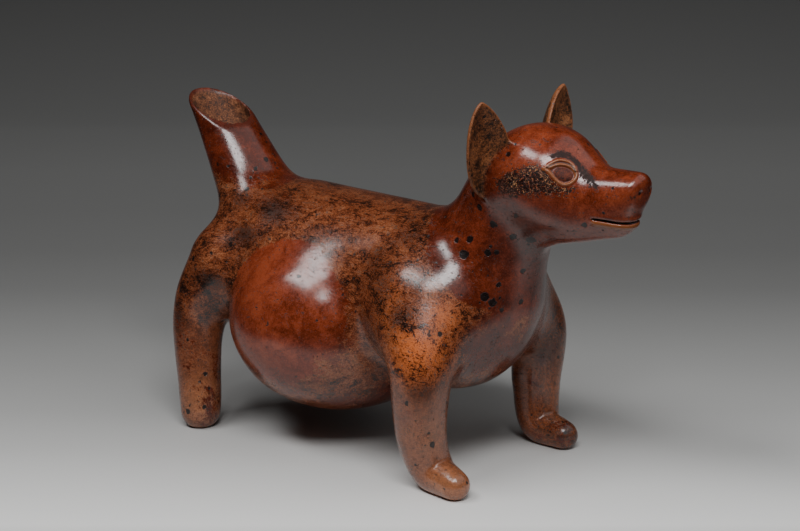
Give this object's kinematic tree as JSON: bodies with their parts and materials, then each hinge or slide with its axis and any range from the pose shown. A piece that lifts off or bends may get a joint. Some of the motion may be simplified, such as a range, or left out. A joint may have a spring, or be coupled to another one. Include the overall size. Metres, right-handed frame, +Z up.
{
  "type": "colima dog figure",
  "caption": "Hollow burnished earthenware vessel in the form of a fat standing dog with pricked ears; its raised tail is the open spout.",
  "frame": {"origin": "on the floor below the middle of the vessel's length and width", "axes": "+X towards the nose, +Y towards the dog's left, +Z up"},
  "size_m": [0.3802, 0.1818, 0.2525],
  "materials": {
    "burnished_clay": "red-brown slip burnished to a soft shine, with orange worn areas and black mineral specks"
  },
  "bodies": {
    "root": {"hindquarters": "burnished_clay", "barrel": "burnished_clay", "forequarters": "burnished_clay"}
  },
  "joints": []
}
